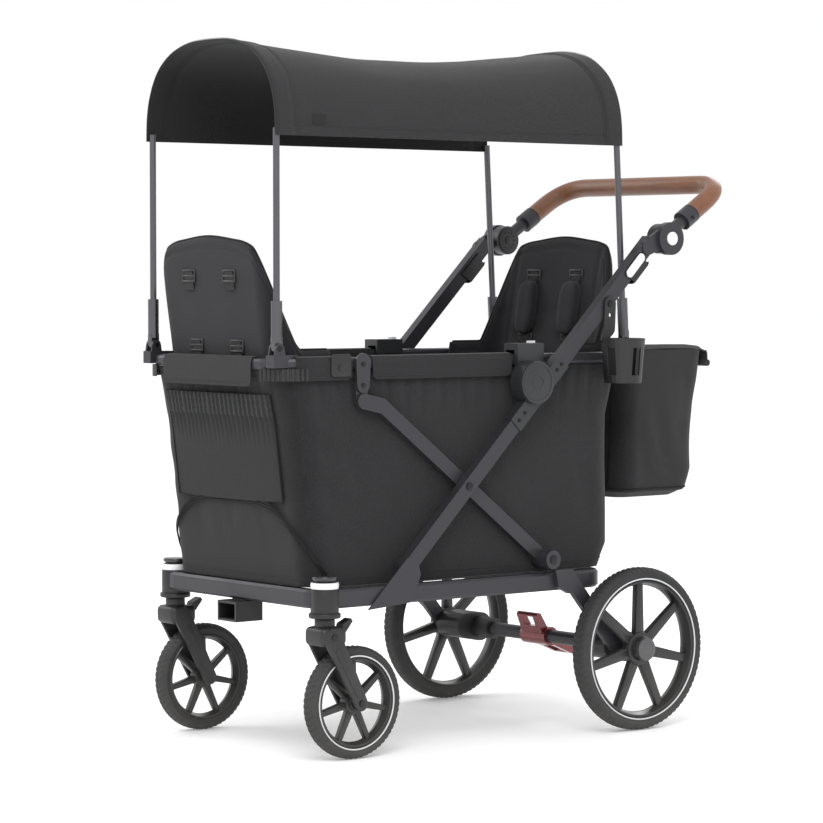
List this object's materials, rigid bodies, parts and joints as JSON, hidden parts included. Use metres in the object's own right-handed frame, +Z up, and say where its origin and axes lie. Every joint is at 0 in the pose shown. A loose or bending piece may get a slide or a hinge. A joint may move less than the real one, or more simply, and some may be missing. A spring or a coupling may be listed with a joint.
{
  "type": "folding stroller wagon",
  "caption": "Folding stroller wagon with a fabric basket, facing seat backs, arched canopy, push handle, swivel casters and a pull-handle socket.",
  "frame": {"origin": "on the floor, under the middle of the wagon's box", "axes": "+Z up, -Y to the front (casters), +Y to the rear (push handle), +X to the left side (cup holder)"},
  "size_m": [0.586, 1.0211, 1.217],
  "materials": {
    "frame": "anthracite powder coat over tube, satin",
    "plastic": "fine moulded grain",
    "fabric": "woven melange polyester",
    "lining": "padded plain weave",
    "rubber": "herringbone tread, light ring on the side",
    "rim": "satin moulded spokes",
    "leather": "stitched tan leatherette",
    "red": "gloss red",
    "white": "smooth",
    "steel": "satin"
  },
  "bodies": {
    "chassis": {"bottom_frame": "frame", "floor_board": "plastic", "pull_handle_receiver": "plastic", "upright_bracket_left": "frame", "upright_bracket_right": "frame", "caster_housing_left": "plastic", "caster_housing_right": "plastic", "rear_leg_left": "frame", "rear_leg_right": "frame", "rear_axle_tube": "frame", "brake_housing_left": "plastic", "brake_housing_right": "plastic", "basket_shell": "fabric", "seat_pad_front": "lining", "seat_pad_rear": "lining"},
    "uprights": {"upright_lower_left": "frame", "upright_lower_right": "frame", "fold_hub_left": "plastic", "fold_hub_right": "plastic", "upright_upper_left": "frame", "upright_upper_right": "frame", "cup_holder": "plastic"},
    "cross_arms": {"cross_arm_left": "frame", "cross_arm_right": "frame"},
    "top_rail": {"top_rail": "frame", "rail_cover_left": "fabric", "rail_cover_right": "fabric", "rail_cover_front": "fabric", "seat_back_front": "lining", "seat_back_rear": "lining", "rear_bag": "fabric"},
    "rail_sliders": {"rail_slider_left": "plastic", "rail_slider_right": "plastic"},
    "brake_pedal": {"brake_pedal": "red"},
    "handle": {"handlebar": "frame", "handle_grip": "leather"},
    "canopy_posts_front": {"canopy_post_front_left": "steel", "canopy_post_front_right": "steel"},
    "canopy_posts_rear": {"canopy_post_rear_left": "steel", "canopy_post_rear_right": "steel"},
    "canopy_cover": {"canopy_cover": "fabric"},
    "caster_left": {"caster_fork_left": "plastic"},
    "front_wheel_left": {"front_tyre_left": "rubber", "front_rim_left": "rim"},
    "swivel_lock_left": {"swivel_lock_lever_left": "plastic"},
    "rear_wheel_left": {"rear_tyre_left": "rubber", "rear_rim_left": "rim"},
    "handle_button_left": {"handle_button_left": "white"},
    "fold_trigger_left": {"fold_trigger_left": "white"},
    "latch_button_left": {"latch_button_left": "white"},
    "caster_right": {"caster_fork_right": "plastic"},
    "front_wheel_right": {"front_tyre_right": "rubber", "front_rim_right": "rim"},
    "swivel_lock_right": {"swivel_lock_lever_right": "plastic"},
    "rear_wheel_right": {"rear_tyre_right": "rubber", "rear_rim_right": "rim"},
    "handle_button_right": {"handle_button_right": "white"},
    "fold_trigger_right": {"fold_trigger_right": "white"},
    "latch_button_right": {"latch_button_right": "white"}
  },
  "joints": [
    {"name": "frame_fold", "type": "hinge", "parent": "chassis", "child": "uprights", "pos_m": [0, -0.2565, 0.317], "axis": [-1, 0, 0], "range_deg": [0, 33], "deforming": ["basket_shell"]},
    {"name": "cross_arm_turn", "type": "hinge", "parent": "uprights", "child": "cross_arms", "pos_m": [0, -0.1255, 0.4475], "axis": [-1, 0, 0], "range_deg": [-58.2, 0]},
    {"name": "top_rail_level", "type": "hinge", "parent": "cross_arms", "child": "top_rail", "pos_m": [0, -0.3385, 0.625], "axis": [-1, 0, 0], "range_deg": [0, 25.2]},
    {"name": "rail_slider_level", "type": "hinge", "parent": "uprights", "child": "rail_sliders", "pos_m": [0, 0.0195, 0.6225], "axis": [-1, 0, 0], "range_deg": [-33.2, 0]},
    {"name": "caster_swivel_left", "type": "hinge", "parent": "chassis", "child": "caster_left", "pos_m": [0.219, -0.4235, 0.23], "axis": [0, 0, 1], "continuous": true},
    {"name": "front_wheel_spin_left", "type": "hinge", "parent": "caster_left", "child": "front_wheel_left", "pos_m": [0.219, -0.3665, 0.095], "axis": [1, 0, 0], "continuous": true},
    {"name": "swivel_lock_left", "type": "hinge", "parent": "caster_left", "child": "swivel_lock_left", "pos_m": [0.219, -0.3895, 0.22], "axis": [-1, 0, 0], "range_deg": [0, 20]},
    {"name": "rear_wheel_spin_left", "type": "hinge", "parent": "chassis", "child": "rear_wheel_left", "pos_m": [0.268, 0.2375, 0.145], "axis": [1, 0, 0], "continuous": true},
    {"name": "caster_swivel_right", "type": "hinge", "parent": "chassis", "child": "caster_right", "pos_m": [-0.219, -0.4235, 0.23], "axis": [0, 0, 1], "continuous": true},
    {"name": "front_wheel_spin_right", "type": "hinge", "parent": "caster_right", "child": "front_wheel_right", "pos_m": [-0.219, -0.3665, 0.095], "axis": [1, 0, 0], "continuous": true},
    {"name": "swivel_lock_right", "type": "hinge", "parent": "caster_right", "child": "swivel_lock_right", "pos_m": [-0.219, -0.3895, 0.22], "axis": [-1, 0, 0], "range_deg": [0, 20]},
    {"name": "rear_wheel_spin_right", "type": "hinge", "parent": "chassis", "child": "rear_wheel_right", "pos_m": [-0.268, 0.2375, 0.145], "axis": [1, 0, 0], "continuous": true},
    {"name": "brake_press", "type": "hinge", "parent": "chassis", "child": "brake_pedal", "pos_m": [0, 0.2375, 0.145], "axis": [-1, 0, 0], "range_deg": [0, 20]},
    {"name": "handle_angle", "type": "hinge", "parent": "uprights", "child": "handle", "pos_m": [0, 0.3385, 0.874], "axis": [1, 0, 0], "range_deg": [-45, 60]},
    {"name": "handle_button_left", "type": "slide", "parent": "uprights", "child": "handle_button_left", "axis": [-1, 0, 0], "range_m": [0, 0.004], "stiffness_N_per_m": 400},
    {"name": "fold_trigger_left", "type": "slide", "parent": "uprights", "child": "fold_trigger_left", "axis": [0, -0.7046, 0.7096], "range_m": [0, 0.005], "stiffness_N_per_m": 500},
    {"name": "latch_button_left", "type": "slide", "parent": "rail_sliders", "child": "latch_button_left", "axis": [0, 0, -1], "range_m": [0, 0.003], "stiffness_N_per_m": 400},
    {"name": "handle_button_right", "type": "slide", "parent": "uprights", "child": "handle_button_right", "axis": [1, 0, 0], "range_m": [0, 0.004], "stiffness_N_per_m": 400},
    {"name": "fold_trigger_right", "type": "slide", "parent": "uprights", "child": "fold_trigger_right", "axis": [0, -0.7046, 0.7096], "range_m": [0, 0.005], "stiffness_N_per_m": 500},
    {"name": "latch_button_right", "type": "slide", "parent": "rail_sliders", "child": "latch_button_right", "axis": [0, 0, -1], "range_m": [0, 0.003], "stiffness_N_per_m": 400},
    {"name": "canopy_fold", "type": "hinge", "parent": "top_rail", "child": "canopy_posts_front", "pos_m": [0, -0.4935, 0.688], "axis": [1, 0, 0], "range_deg": [0, 35]},
    {"name": "canopy_rear_post_turn", "type": "hinge", "parent": "top_rail", "child": "canopy_posts_rear", "pos_m": [0, 0.2815, 0.688], "axis": [1, 0, 0], "range_deg": [0, 35.2]},
    {"name": "canopy_level", "type": "hinge", "parent": "canopy_posts_front", "child": "canopy_cover", "pos_m": [0, -0.4935, 1.048], "axis": [1, 0, 0], "range_deg": [-35.2, 0]}
  ],
  "couplings": [
    {"joint": "cross_arm_turn", "follows": "frame_fold", "ratio": -1.759},
    {"joint": "top_rail_level", "follows": "frame_fold", "ratio": 0.759},
    {"joint": "rail_slider_level", "follows": "frame_fold", "ratio": -1},
    {"joint": "canopy_rear_post_turn", "follows": "canopy_fold", "ratio": 1},
    {"joint": "canopy_level", "follows": "canopy_fold", "ratio": -1}
  ]
}
